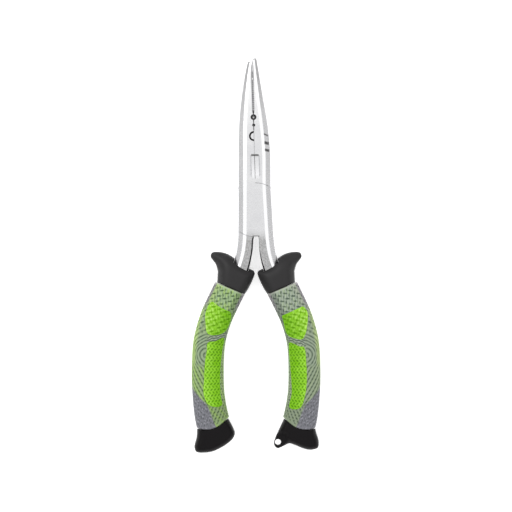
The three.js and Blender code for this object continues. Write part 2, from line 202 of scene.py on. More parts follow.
def circle(count):
    """Angles evenly spaced round a circle."""
    return np.linspace(0, TAU, count, endpoint=False)


def bar(x, y, radius, z0=MID - 20, z1=MID + 20, count=48):
    """A round bar along Z."""
    a = circle(count)
    return prism(np.c_[x + radius * np.cos(a), y + radius * np.sin(a)], z0, z1)


def boolean(target, tool, how="DIFFERENCE"):
    """target with tool cut from it, joined to it or kept in common with it."""
    modifier = target.modifiers.new("cut", "BOOLEAN")
    modifier.operation = how
    modifier.object = tool
    modifier.solver = "EXACT"
    graph = bpy.context.evaluated_depsgraph_get()
    mesh = bpy.data.meshes.new_from_object(target.evaluated_get(graph))
    target.modifiers.clear()
    old = target.data
    target.data = mesh
    bpy.data.meshes.remove(old)
    bpy.data.objects.remove(tool)


def copy_of(obj, name):
    return place_in_scene(name, obj.data.copy())


def tidy(obj, angle=32):
    """Welds slivers, shades smooth and keeps the real edges sharp."""
    bm = bmesh.new()
    bm.from_mesh(obj.data)
    bmesh.ops.remove_doubles(bm, verts=bm.verts, dist=2e-6)
    bmesh.ops.dissolve_degenerate(bm, edges=bm.edges, dist=1e-6)
    bmesh.ops.triangulate(bm, faces=[f for f in bm.faces if len(f.verts) > 4])
    bm.to_mesh(obj.data)
    bm.free()
    obj.data.shade_smooth()
    obj.data.set_sharp_from_angle(angle=math.radians(angle))
    return obj


def paint(obj, name, values):
    """A value or a colour for each vertex, which the materials read."""
    values = np.asarray(values, np.float32)
    if values.ndim == 1:
        layer = obj.data.attributes.new(name, "FLOAT", "POINT")
        layer.data.foreach_set("value", values)
    else:
        layer = obj.data.attributes.new(name, "FLOAT_COLOR", "POINT")
        rgba = np.c_[values, np.ones(len(values))].ravel().astype(np.float32)
        layer.data.foreach_set("color", rgba)


# ---- steel head
head_left = profile([[-38, -15.2], [-30, -12.4], [-22, -10.9], [-14, -10.3], [0, -10.25],
                     [34, -10.2], [46, -10.0], [56, -9.35], [65, -8.35], [73, -7.15],
                     [81, -5.75], [90, -3.7]])
head_right = profile([[-38, 15.9], [-30, 13.1], [-22, 11.5], [-14, 10.7], [-4, 10.1],
                      [6, 9.5], [14, 9.1], [32, 9.0], [39, 8.5], [47, 7.65], [55, 6.45],
                      [64, 4.8], [73, 3.2], [81, 1.85], [90, 0.35]])
head_thickness = profile([[-38, 8.4], [-26, 9.6], [-17, 10.5], [20, 10.5], [36, 9.8],
                          [60, 6.9], [80, 4.1], [90, 3.0]])
shoulder_width = profile([[-38, 4.4], [-17, 5.1], [30, 5.1], [45, 4.95], [60, 4.3],
                          [70, 3.5], [80, 2.75], [90, 1.95]])
crotch_left = profile([[-41, -6.2], [-34.4, -3.9], [-28.9, -2.6], [-21.9, -1.55],
                       [-18.4, -1.4], [-15.4, -0.9]])
crotch_right = profile([[-41, 7.0], [-34.4, 4.6], [-28.9, 3.1], [-21.9, 2.1],
                        [-18.4, 2.0], [-15.4, 1.6]])
LAP_RADIUS = 15.6
TIPS = {-1: 86.6, 1: 88.6}  # where each jaw ends, left and right
GRIP_HOLE_Y, SHOT_HOLE_Y, CRIMP_Y = 54.0, 49.3, 42.9
TOOTH_PITCH = 1.14


def mating(y):
    """The X where the two jaws meet."""
    return 0.3 - 0.0273 * np.asarray(y, float)


def half_depth(y):
    """Half the head's thickness."""
    return head_thickness(y) / 2


def shoulder_shape():
    """The shoulder's fall across its width: a shallow polished facet, then a steep one."""
    across = np.r_[0, 0.015, 0.03, 0.06, np.arange(0.12, 0.42, 0.05), 0.43, 0.445, 0.46,
                   0.475, 0.49, 0.51, np.arange(0.56, 0.9, 0.06), 0.9]
    tilt = np.interp(across, [0, 0.03, 0.36, 0.42, 0.9], [4, 14, 17, 33, 38])
    slope = np.tan(np.radians(tilt))
    drop = np.r_[0, np.cumsum((slope[1:] + slope[:-1]) / 2 * np.diff(across))]
    turn = np.radians(np.linspace(tilt[-1], 90, 8))[1:]
    radius = 0.1 / (1 - math.sin(math.radians(tilt[-1])))
    x = across[-1] + radius * (np.sin(turn) - math.sin(math.radians(tilt[-1])))
    z = drop[-1] + radius * (math.cos(math.radians(tilt[-1])) - np.cos(turn))
    return np.r_[across, x], np.r_[drop, z]


SHOULDER = shoulder_shape()


def head_ring(y):
    """The head's section at y."""
    x0, x1 = head_left(y), head_right(y)
    half = half_depth(y)
    width = shoulder_width(y)
    across, drop = SHOULDER[0] * width, SHOULDER[1] * width
    quarter = np.c_[across, drop]
    parts = []
    for left, face in ((0, 1), (1, 1), (1, -1), (0, -1)):
        x = x0 + width - quarter[:, 0] if left else x1 - width + quarter[:, 0]
        z = MID + face * (half - quarter[:, 1])
        part = np.c_[x, np.full(len(x), y), z]
        parts.append(part if left == (face == 1) else part[::-1])
    return np.vstack(parts)


def along_y(polygon, stations):
    """A solid whose section in XZ follows polygon(y)."""
    return solid([[[x, y, z] for x, z in polygon(y)] for y in stations])


def crotch_tool():
    """The gap between the shanks, its edges broken by chamfers that are painted dark as shade."""
    left_edge = ramp((-44, 1.2), (-34, 1.05), (-26, 0.85), (-16, 0.8))
    right_edge = ramp((-44, 1.1), (-34, 0.9), (-27, 0.5), (-22, 0.15), (-16, 0.1))
    depth = 1.7

    def polygon(y):
        half = half_depth(y)
        xl, xr = crotch_left(y), crotch_right(y)
        el, er = left_edge(y), right_edge(y)
        up, down = MID + half, MID - half
        return [
            (xl - el, up + 1), (xl - el, up), (xl, up - depth), (xl, down + depth),
            (xl - el, down), (xl - el, down - 1), (xr + er, down - 1), (xr + er, down),
            (xr, down + depth), (xr, up - depth), (xr + er, up), (xr + er, up + 1),
        ]

    return along_y(polygon, np.r_[np.arange(-44, -15.5, 1.0), -15.4])


def cutter_tool(face):
    """The side cutter's pocket: a shallow V floor between low walls, with a sloped end painted
    dark as shade.
    """
    left, right, wall, floor, slit = -1.95, 2.4, 0.55, 0.68, 0.15
    stations = [(18.2, -0.1), (20.6, 0.98), (31.25, 1.0), (32.45, -0.05)]

    def ring(y, share):
        x = mating(y)
        up = half_depth(y)
        pts = [(left - 1.4, up + 0.9), (left, up - wall * share),
               (-slit, up - floor * share), (0, up - (floor + 0.6) * share),
               (slit, up - floor * share), (right, up - wall * share),
               (right + 1.4, up + 0.9)]
        return np.array([[x + a, y, MID + face * b] for a, b in pts])

    return solid([ring(*s) for s in stations])


def groove_tool(face):
    """The bevel along both jaws' inner edges, deep beside the holes, where it is painted dark as
    shade.
    """
    width = ramp((33, 0.07), (45.5, 0.09), (46.6, 0.24), (56, 0.28), (58, 0.7), (70, 0.85),
                 (80, 0.8), (92, 0.5))
    depth = ramp((33, 0.3), (45.5, 0.4), (46.6, 1.1), (56, 1.1), (58, 0.5), (70, 0.6),
                 (80, 0.56), (92, 0.35))

    def polygon(y):
        x = mating(y)
        up = half_depth(y)
        d = depth(y)
        w = width(y) * (d + 0.3) / d
        return [(x - w, MID + face * (up + 0.3)), (x, MID + face * (up - d)),
                (x + w, MID + face * (up + 0.3))]

    return along_y(polygon, [33, 45.5, 46.6, 50, 53, 56, 57, 58, *range(59, 88, 4), 92])


def tooth_tool(face):
    """Notches between the jaw teeth where they meet the face."""
    outline = [(1, 0), (0.7, 0.31), (-0.7, 0.31), (-1, 0), (-0.7, -0.31), (0.7, -0.31)]
    half = ramp((56, 0.66), (67, 0.6), (70, 0.5), (80, 0.42))
    verts, faces = [], []
    for y in np.arange(56.9, 80.0, TOOTH_PITCH):
        x = mating(y) + 0.003
        up = half_depth(y)
        one, around_it = tube([
            [(x + a * half(y) * k, y + b * k, MID + face * (up + z)) for a, b in outline]
            for z, k in ((0.5, 1.0), (-0.75, 0.95), (-1.35, 0.3))
        ])
        faces += [tuple(i + len(verts) for i in f) for f in around_it]
        verts += one.tolist()
    return make("tool", verts, faces)


def tip_tool(tip, face):
    """Rounds a jaw's nose down to its end."""
    up = half_depth(tip)
    line = [(tip - 1.5, 1.2), (tip - 1.25, 0.1), (tip - 0.8, -0.25), (tip - 0.3, -0.75),
            (tip + 0.4, -1.3), (tip + 3, -1.3), (tip + 3, 1.2)]
    return solid([[(x, y, MID + face * (up + z)) for y, z in line] for x in (-20, 20)])


def lathe(x, y, shape, count=64):
    """A solid of revolution about a line along Z, from (radius, height over the mid plane)."""
    a = circle(count)
    return solid([
        np.c_[x + r * np.cos(a), y + r * np.sin(a), np.full(count, MID + z)] for r, z in shape
    ])


def recess(y, radius, floor_radius, waist, depth):
    """A round recess in both faces that meets the other at a narrow waist."""
    up = half_depth(y)
    upper = [(waist, 0), (waist, up - depth - 0.25), (floor_radius, up - depth), (radius, up),
             (radius, up + 1)]
    shape = [(r, -z) for r, z in upper[:0:-1]] + upper[1:]
    return lathe(mating(y), y, shape)


def jaw_area(side, tip):
    """The plan area of one jaw, whose fine teeth interlock with the other's."""

    def inner(y):
        return mating(y) + side * SLIT

    outer = head_left if side < 0 else head_right
    line = [(inner(y), y) for y in (0, 20, 40, 50, 56)]
    for i, y in enumerate(np.arange(56.33, 80.2, TOOTH_PITCH / 2)):
        line.append((inner(y) + (0.12 if i % 2 else -0.12), y))
    line += [(inner(81), 81), (inner(tip - 3), tip - 3)]
    crown = []
    nose = ((0.08, 0.75), (0.25, 0.45), (0.5, 0.15), (0.72, 0.0), (0.9, 0.35), (1, 1.1))
    for share, drop in nose:
        y = tip - drop
        a, b = inner(tip - 1.5) + side * 0.2, outer(y)
        crown.append((a + (b - a) * share, y))
    return line + crown + [(side * 30, tip - 1.5), (side * 30, 0)]


def tang(side, length, grow, steps):
    """The tang along a handle's centre line, grown by grow all round."""
    rings = []
    for s in np.linspace(0, length, steps + 1):
        t = float(ease(s, 0, 15))
        width, depth = 4.1 + (3.5 - 4.1) * t + grow, 4.0 + (2.2 - 4.0) * t + grow
        rings.append(on_handle(side, np.array([s]), *oval(circle(24), 12, width, depth)))
    return solid(rings)


# ---- handles
LINE = catmull([(-9.2, -33), (-12.6, -41), (-17.1, -50), (-22.9, -62.5), (-26.7, -76),
                (-27.8, -92), (-27.4, -107), (-25.4, -121), (-22.2, -132)], per=150)
LINE_S = np.r_[0, np.cumsum(np.linalg.norm(np.diff(LINE, axis=0), axis=1))]
LINE_T = np.gradient(LINE, LINE_S, axis=0)
LINE_T /= np.linalg.norm(LINE_T, axis=1, keepdims=True)
GUARD_LINE = np.array([[-22.6, -42.2], [-6.9, -48.9]])
CAP_LINE = catmull([(-39.0, -125.6), (-34.4, -127.3), (-30.0, -128.0), (-23.1, -126.6),
                    (-15.8, -121.4), (-9.0, -114.5)])


def handle_frame(s):
    """Points on the left handle's centre line and the directions across it."""
    c = np.stack([np.interp(s, LINE_S, LINE[:, k]) for k in (0, 1)], -1)
    t = np.stack([np.interp(s, LINE_S, LINE_T[:, k]) for k in (0, 1)], -1)
    t /= np.linalg.norm(t, axis=-1, keepdims=True)
    return c, np.stack([-t[..., 1], t[..., 0]], -1)


def to_handle(points):
    """(s, u) of points in the left handle's plan: along the centre line and across it."""
    d = ((points[:, None, :] - LINE[None]) ** 2).sum(-1)
    i = d.argmin(1)
    across = np.stack([-LINE_T[i, 1], LINE_T[i, 0]], -1)
    along = ((points - LINE[i]) * LINE_T[i]).sum(1)
    return np.c_[LINE_S[i] + along, ((points - LINE[i]) * across).sum(1)]


def flip(xy, side):
    """The left handle's plan points, mirrored for the right handle."""
    if side < 0:
        return xy
    return np.stack([2 * HANDLE_AXIS - xy[..., 0], xy[..., 1]], -1)


def on_handle(side, s, u, v):
    """Points at s along a handle, u across it and v above the mid plane."""
    c, across = handle_frame(s)
    xy = c + across * u[..., None]
    return np.concatenate([flip(xy, side), (MID + v)[..., None]], -1)


def oval(a, power, half_width, half_height):
    """Points at angles a round a superellipse."""
    c, s = np.cos(a), np.sin(a)
    return (np.sign(c) * np.abs(c) ** (2 / power) * half_width,
            np.sign(s) * np.abs(s) ** (2 / power) * half_height)


GRIP_A, GRIP_B, GRIP_N = 9.35, 7.3, 2.5  # the grip section's half sizes and its exponent


def grip_width(s):
    """The grip's half width, which flares towards the end cap."""
    return GRIP_A + 0.6 * ease(s, 76, 97)


def around(count):
    """Angles evenly spaced round the grip's section, and the distance round from the front."""
    a = np.linspace(math.pi / 2, math.pi / 2 - TAU, 4001)
    u, v = oval(a, GRIP_N, GRIP_A, GRIP_B)
    d = np.r_[0, np.cumsum(np.hypot(np.diff(u), np.diff(v)))]
    w = np.linspace(0, d[-1], count, endpoint=False)
    return np.interp(w, d, a), w, d[-1]


ROUND = around(1)[2]  # the whole way round the grip


def signed(w):
    """Distances round from the front, negative on the outer side."""
    return np.where(w > ROUND / 2, w - ROUND, w)


STEP_S = 3.42  # the weave's repeat along the grip, and round it above and below the band
STEP_W = ROUND / 15
STEP_LOW = ROUND / 26
BAND_S = 46.6  # where the corded band crosses the middle of the front


def dashes(s, w, step_w, angle, half_length, half_width, shift):
    """Sunk dashes on a centred lattice, 1 in their middle and 0 outside."""
    ds = (s / STEP_S + shift + 0.5) % 1 - 0.5
    dw = (w / step_w + shift + 0.5) % 1 - 0.5
    out = 0
    for i in (-1, 0, 1):
        for j in (-1, 0, 1):
            x, y = (ds + i) * STEP_S, (dw + j) * step_w
            c, q = math.cos(math.radians(angle)), math.sin(math.radians(angle))
            a, b = (x * c + y * q) / half_length, (y * c - x * q) / half_width
            out = np.maximum(out, np.exp(-((a * a) ** 1.6) - ((b * b) ** 1.3)))
    return out


def ripple(s, w, seed, size):
    """Smooth irregularity, about -1 to 1."""
    rng = np.random.RandomState(seed)
    out = 0
    for k in range(6):
        a = rng.uniform(0, TAU)
        f = TAU / (size * rng.uniform(0.7, 1.5))
        out = out + np.sin(f * (s * math.cos(a) + w * math.sin(a)) + rng.uniform(0, 6.28))
    return out / 3.2


def wide_weave(s, w):
    """The open basket weave: 1 on the strands, 0 in the gaps."""
    gap = np.maximum(dashes(s, w, STEP_W, -62, 1.25, 0.44, 0),
                     0.7 * dashes(s, w, STEP_W, 27, 1.1, 0.44, 0.5))
    lines = np.cos(TAU * (s * 0.46 - w * 0.89) / 1.64)
    gap = gap * (0.84 + 0.42 * ripple(s, w, 9, 5.0))
    fibres = 0.5 + 0.5 * np.cos(TAU * w / 1.23 + 2.2 * ripple(s, w, 19, 4.0))
    return np.clip(1 - gap - 0.15 * (1 - lines) - 0.2 * fibres, 0, 1)


def tight_weave(s, w):
    """The closer weave of the lower grip."""
    gap = np.maximum(dashes(s, w, STEP_LOW, -52, 0.85, 0.42, 0),
                     0.85 * dashes(s, w, STEP_LOW, 30, 0.8, 0.4, 0.5))
    return np.clip(1 - gap - 0.08 * (1 + ripple(s, w, 5, 2.4)), 0, 1)


def twill(s, w):
    """Long slanting strands."""
    v1, v2 = np.array([2.1, 1.2]), np.array([1.25, -1.6])
    det = v1[0] * v2[1] - v1[1] * v2[0]
    along = (s * v2[1] - w * v2[0]) / det
    across = (w * v1[0] - s * v1[1]) / det
    rows = 0.5 + 0.5 * np.cos(TAU * across)
    beads = 0.5 + 0.5 * np.cos(TAU * (along + 0.5 * across))
    return np.clip(1 - rows**1.4 * (0.6 + 0.4 * beads), 0, 1)


PLAIN_EDGE = catmull([(70, -10.5), (75, -8.3), (79.4, -5.0), (83.4, -1.6), (87.4, -0.4),
                      (94, 0.7), (104, 1.6)])


def stretch_between(x, a, b, c, d):
    """1 from b to c, easing to 0 at a and d."""
    return ease(x, a, b) * (1 - ease(x, c, d))


def plain_zone(s, u):
    """1 in the plain lower outer patch, 0 above its slanting edge."""
    edge = np.interp(s, PLAIN_EDGE[:, 0], PLAIN_EDGE[:, 1], left=-12)
    return ease(edge - u, -0.35, 0.35)


def swirl(s, w):
    """Strands that curl round a centre on the grip's outer side."""
    reach = np.hypot((s - 55) * 0.8, w + 1.4) + 0.45 * ripple(s, w, 17, 8.0)
    rows = 0.5 + 0.5 * np.cos(TAU * reach / 1.6)
    worn = np.clip(0.55 + 0.45 * ripple(s, w, 13, 2.6), 0, 1)
    return np.clip(1 - rows**1.3 * (0.55 + 0.45 * worn), 0, 1)


def cord_zone(s, w, u):
    """1 in the corded band that crosses the front between the two pads."""
    return ease(3.0 - np.abs(s + 0.5 * w - BAND_S), 0, 0.8) * ease(u, -2.5, -0.5)


def cords(s, w):
    """Strands that run along the band and wind round each other."""
    m = s + 0.5 * w - BAND_S + 0.3 * np.sin(TAU * w / 5.2)
    rows = 0.5 - 0.5 * np.cos(TAU * m / 1.5)
    beads = 0.5 + 0.5 * np.cos(TAU * (w / 2.3 + 0.5 * np.round(m / 1.5)))
    return np.clip(1 - rows**1.2 * 0.9 - 0.35 * beads, 0, 1)


def swirl_zone(s, u):
    """1 over the swirl on the grip's outer side."""
    return stretch_between(s, 40, 46, 59, 64) * ease(-u, 0.5, 2.5)


def grip_relief(s, w, u):
    """Strand height over the whole grip, 0 to 1."""
    low = ease(s, 45.5, 48.5)
    slant = ease(s, 57, 62) * ease(-u, -0.5, 1.5)
    weave = wide_weave(s, w) * (1 - low) + tight_weave(s, w) * low
    weave = weave * (1 - slant) + twill(s, w) * slant
    curl = swirl_zone(s, u)
    weave = weave * (1 - curl) + swirl(s, w) * curl
    cord = cord_zone(s, w, u)
    weave = weave * (1 - cord) + cords(s, w) * cord
    foot = ease(s, 82, 85) * (1 - slant)
    weave = weave * (1 - 0.5 * foot) + twill(s * 1.1, -w) * 0.5 * foot
    plain = plain_zone(s, u)
    flecks = np.clip(0.6 + 0.7 * ripple(s, w, 11, 1.7), 0, 1)
    return weave * (1 - plain) + (0.4 + 0.6 * flecks) * plain


def surface(side, s, a, growth):
    """Points on the grip's form, grown by growth along its own normal."""
    gw = grip_width(s)
    u, v = oval(a, GRIP_N, gw, GRIP_B)
    nu = np.sign(u) * np.abs(u / gw) ** (GRIP_N - 1) / gw
    nv = np.sign(v) * np.abs(v / GRIP_B) ** (GRIP_N - 1) / GRIP_B
    size = np.hypot(nu, nv)
    return on_handle(side, s, u + growth * nu / size, v + growth * nv / size)


def bore(side, s, a):
    """Points on the bore that the rigid core fills."""
    return on_handle(side, s, *oval(a, 3, 6.1, 4.2))


def crossings(u, gap):
    """Where the line at distance u across the handle meets the guard and the end cap."""
    s = np.arange(0, LINE_S[-1], 0.05)
    c, across = handle_frame(s)
    slope = (GUARD_LINE[1, 1] - GUARD_LINE[0, 1]) / (GUARD_LINE[1, 0] - GUARD_LINE[0, 0])
    top, bottom = np.zeros(len(u)), np.zeros(len(u))
    for k, one in enumerate(u):
        p = c + across * one * (grip_width(s) / GRIP_A)[:, None]
        below = p[:, 1] < GUARD_LINE[0, 1] + slope * (p[:, 0] - GUARD_LINE[0, 0]) - gap
        over = p[:, 1] > np.interp(p[:, 0], CAP_LINE[:, 0], CAP_LINE[:, 1]) + gap
        top[k] = s[np.argmax(below)]
        bottom[k] = s[len(s) - 1 - np.argmax(over[::-1])]
    return top, bottom


PADS = {
    ("left", "upper"): [(-25.4, -53.3), (-28.9, -58.9), (-29.2, -64.5), (-27.7, -71.9),
                        (-21.7, -72.6), (-18.0, -71.1), (-15.9, -68.4), (-14.2, -63.7),
                        (-14.4, -59.6), (-20.2, -57.0)],
    ("left", "lower"): [(-27.7, -77.1), (-23.2, -76.2), (-18.2, -74.5), (-19.1, -81.6),
                        (-20.4, -93.9), (-20.3, -106.1), (-19.7, -113.8), (-26.8, -113.5),
                        (-30.0, -107.9), (-29.9, -97.9), (-29.3, -87.7), (-28.3, -81.6)],
    ("right", "upper"): [(27.6, -56.0), (30.2, -59.2), (30.4, -64.5), (29.1, -71.9),
                         (27.2, -75.1), (23.5, -74.9), (18.4, -72.6), (16.0, -64.5),
                         (15.4, -61.5), (20.5, -60.0), (25.0, -57.4)],
    ("right", "lower"): [(19.6, -77.1), (22.7, -77.9), (25.7, -79.3), (28.1, -79.5),
                         (29.6, -89.8), (29.8, -100.0), (29.0, -107.0), (25.9, -115.1),
                         (19.8, -115.1), (20.9, -106.1), (20.1, -91.8), (19.3, -81.6)],
}
RELIEF = 0.34  # from the strands' tops down into the gaps
SIDES = {"left": -1, "right": 1}


def pad_outline(name, place):
    """A pad's outline in (s, u)."""
    line = resample(catmull(PADS[name, place], closed=True), 0.3, closed=True)
    if name == "right":
        line = flip(line, 1)
    return to_handle(line)


def toward(a, b, share):
    """Colours a, moved towards b by a share for each vertex."""
    return a + (b - a) * share[..., None]


def linear(hex_colour):
    """A display colour as linear RGB."""
    v = np.array([int(hex_colour[i : i + 2], 16) for i in (1, 3, 5)]) / 255
    return np.where(v <= 0.04045, v / 12.92, ((v + 0.055) / 1.055) ** 2.4)


def skin_tint(name, s, u, w):
    """The skin's colour before the material darkens the weave's gaps as painted shade."""
    left = name == "left"
    streak = ease(ripple(s * 0.5, w * 1.6 - s * 0.7, 3, 3.0), -0.1, 0.9)
    edge = ease(u, 7.2, 8.4) * (1 - ease(s, 20, 27)) + ease(-u, 7.4, 8.6) * (1 - ease(s, 26, 33))
    side_green = stretch_between(s, 28, 36, 70, 79) * ease(-u, 6.3, 7.8)
    lower = ease(s, 58, 64) * (1 - 0.6 * ease(u, 5, 8))
    stripe = ease(s, 58, 64) * ease(np.cos(TAU * (s * 0.5 - w * 0.87) / 3.9), 0.2, 0.8)
    beside_pad = stretch_between(s, 25, 30, 40, 46) * stretch_between(-u, 5.2, 6.2, 7.2, 8.2)
    dull = np.maximum(swirl_zone(s, u) * (1 - ease(-u, 6.5, 8.0)), beside_pad)
    layers = [  # the left grip's colour, the right grip's, and where it lies
        ("#a6c66e", "#a5b693", streak * 0.8),
        ("#a6c07c", "#aab29f", ease(-u, 4.5, 6.5)),
        ("#849d6c", "#879083", ease(u, 4.2, 5.8)),
        # 9a959a paints the grey-purple shading of the grip's turning sides near its top.
        ("#9a959a", "#9a959a", edge),
        ("#9cb080", "#9cab8c", 0.9 * ease(s, 31, 40)),
        ("#acc87c", "#adc184", side_green),
        ("#97b079", "#96a48a", 0.8 * lower),
        ("#9fc45e", "#9cab86", stripe * (0.6 if left else 0.5)),
        ("#8a9c86", "#8d9a8a", 0.6 * dull),
        ("#a3ad9f", "#a3ad9f", 0.75 * cord_zone(s, w, u)),
    ]
    tint = linear("#9fb98a" if left else "#a2ae9c")
    for left_colour, right_colour, share in layers:
        tint = toward(tint, linear(left_colour if left else right_colour), share)
    foot = ease(s, 78, 88) * 0.16 + ease(s, 58, 66) * 0.07
    tint = tint * (1 - foot)[..., None]
    specks = ease(ripple(s, w, 27, 1.4), 0.2, 1.2)
    return toward(tint, toward(linear("#75757c"), linear("#9b9ba3"), specks), plain_zone(s, u))


def build_skin(name, columns, spacing):
    """A grip's skin, as rings down its outside and back up its bore."""
    side = SIDES[name]
    a, w, _ = around(columns)
    u = oval(a, GRIP_N, GRIP_A, GRIP_B)[0]
    w = signed(w)
    top, bottom = crossings(u, 0.12)
    rows = int(round((bottom - top).mean() / spacing))
    share = np.linspace(0, 1, rows + 1)[:, None]
    lip_top, lip_foot = 0.35, 0.95
    s = (top + lip_top) + share * (bottom - lip_foot - top - lip_top)
    aa = np.broadcast_to(a, s.shape)
    ww = np.broadcast_to(w, s.shape)
    uu = np.broadcast_to(u, s.shape)
    relief = grip_relief(s, ww, uu)
    fade = ease(s, top + 0.4, top + 1.6) * ease(bottom - s, 0.9, 2.0)
    relief = 1 - (1 - relief) * fade
    growth = (relief - 1) * RELIEF
    points = np.stack([s.ravel(), uu.ravel()], -1)
    for place in ("upper", "lower"):
        line = pad_outline(name, place)
        deep = inside(points, line) * ease(distance_to(points, line), 0.0, 0.5)
        growth = growth - 1.15 * deep.reshape(s.shape)
    rings = [surface(side, s[k], aa[k], growth[k]) for k in range(rows + 1)]
    tones = [relief[k] for k in range(rows + 1)]
    plans = [(s[k], uu[k]) for k in range(rows + 1)]

    def add(ring, at):
        rings.append(ring)
        tones.append(np.ones(columns))
        plans.append((at, u))

    for turn in np.radians((22, 45, 68, 90)):
        at = bottom - lip_foot * (1 - math.sin(turn))
        add(surface(side, at, a, np.full(columns, -lip_foot * (1 - math.cos(turn)))), at)
    add(0.5 * (rings[-1] + bore(side, bottom, a)), bottom)
    for t in np.linspace(1, 0, 14):
        at = top + t * (bottom - top)
        add(bore(side, at, a), at)
    add(0.5 * (surface(side, top, a, np.full(columns, -0.3)) + bore(side, top, a)), top)
    for turn in np.radians((90, 60, 30)):
        at = top + lip_top * (1 - math.sin(turn))
        add(surface(side, at, a, np.full(columns, -lip_top * (1 - math.cos(turn)))), at)
    obj = make(f"{name}_skin", *tube(rings, closed=True))
    ps = np.concatenate([p[0] for p in plans])
    pu = np.concatenate([p[1] for p in plans])
    pw = np.tile(w, len(rings))
    tint = skin_tint(name, ps, pu, pw)
    lip = np.tile(top, len(rings))
    edge = 1 - ease(ps - lip, 0.35, 0.9)
    tint = tint + (linear("#b9b8b2") - tint) * edge[:, None] * 0.4
    paint(obj, "tint", tint)
    paint(obj, "relief", np.concatenate(tones))
    obj.data.shade_smooth()
    return obj


def build_pad(name, place, face, spacing):
    """One pad let into the skin, as rings round its top and its underside."""
    side = SIDES[name]
    line = pad_outline(name, place)
    proud, rim, depth, edge_gap = 0.14, 0.55, 1.0, 0.12
    s0, s1 = line[:, 0].min(), line[:, 0].max()
    rungs = np.r_[s0 + 0.14, np.arange(s0 + 0.3, s1 - 0.2, spacing), s1 - 0.14]
    a, b = line, np.roll(line, -1, axis=0)
    low, high = [], []
    for s in rungs:
        hit = (a[:, 0] - s) * (b[:, 0] - s) <= 0
        t = (s - a[hit, 0]) / np.where(b[hit, 0] == a[hit, 0], 1, b[hit, 0] - a[hit, 0])
        cross = a[hit, 1] + t * (b[hit, 1] - a[hit, 1])
        low.append([cross.min() + edge_gap])
        high.append([cross.max() - edge_gap])
    low, high = np.array(low), np.array(high)

    def rungs_across(count):
        u = low + np.linspace(0, 1, count) * (high - low)
        s = np.broadcast_to(rungs[:, None], u.shape)
        r = np.clip(np.abs(u) / grip_width(s), 0, 1)
        return u, s, np.arccos(np.clip(np.sign(u) * r ** (GRIP_N / 2), -1, 1)) * face

    u, s, a = rungs_across(int(round((high - low).max() / spacing)) + 1)
    under_u, under_s, under_a = rungs_across(9)
    d = distance_to(np.stack([s.ravel(), u.ravel()], -1), line).reshape(u.shape)
    table_a, table_w, _ = around(4000)
    table_u = oval(table_a, GRIP_N, GRIP_A, GRIP_B)[0]
    half = (np.sin(table_a) * face) > 0
    order = np.argsort(table_u[half])
    w = np.interp(u, table_u[half][order], signed(table_w)[half][order])
    weave = wide_weave(s, w) if place == "upper" else tight_weave(s, w)
    weave = 1 - (1 - weave) * ease(d, 0.1, 0.6)
    edge = np.clip(1 - d / rim, 0, 1)
    growth = proud - rim * (1 - np.sqrt(1 - edge**2)) * 0.75 - (1 - weave) * RELIEF
    top = surface(side, s, a, growth)
    under = surface(side, under_s, under_a, np.full(under_u.shape, -depth))
    rings = np.concatenate([top, under[:, ::-1]], axis=1)
    obj = make(f"{name}_pad_{'front' if face > 0 else 'back'}_{place}", *tube(rings))

    def in_rings(over, below):
        return np.hstack([over, np.broadcast_to(below, under_u.shape)[:, ::-1]]).ravel()

    along, across, w = in_rings(s, under_s), in_rings(u, under_u), in_rings(w, 0.0)
    # The pad is painted lighter on its outer side and darker inward, as painted shading.
    light = ease(-across, -8, 6) * 0.85 + 0.12 * ripple(along, across, 21, 7)
    tint = toward(linear("#79bb13"), linear("#a2e040"), np.clip(light, 0, 1))
    step = STEP_W if place == "upper" else STEP_LOW
    strokes = np.maximum(*(
        dashes(along, w + step / 2, step, angle, reach * step, 0.17 * step, shift)
        for angle, reach, shift in ((-60, 0.36, 0), (30, 0.33, 0.5))
    ))
    gleam = strokes * ease(ripple(along, w, 31, 5.0), -1.0, 0.6)
    gleam = gleam * (0.25 + 0.75 * ease(-across, -5, 4)) * (0.55 if place == "upper" else 0.4)
    paint(obj, "tint", toward(tint, linear("#cdf08c"), gleam))
    paint(obj, "relief", in_rings(weave, 1.0))
    return tidy(obj, 50)


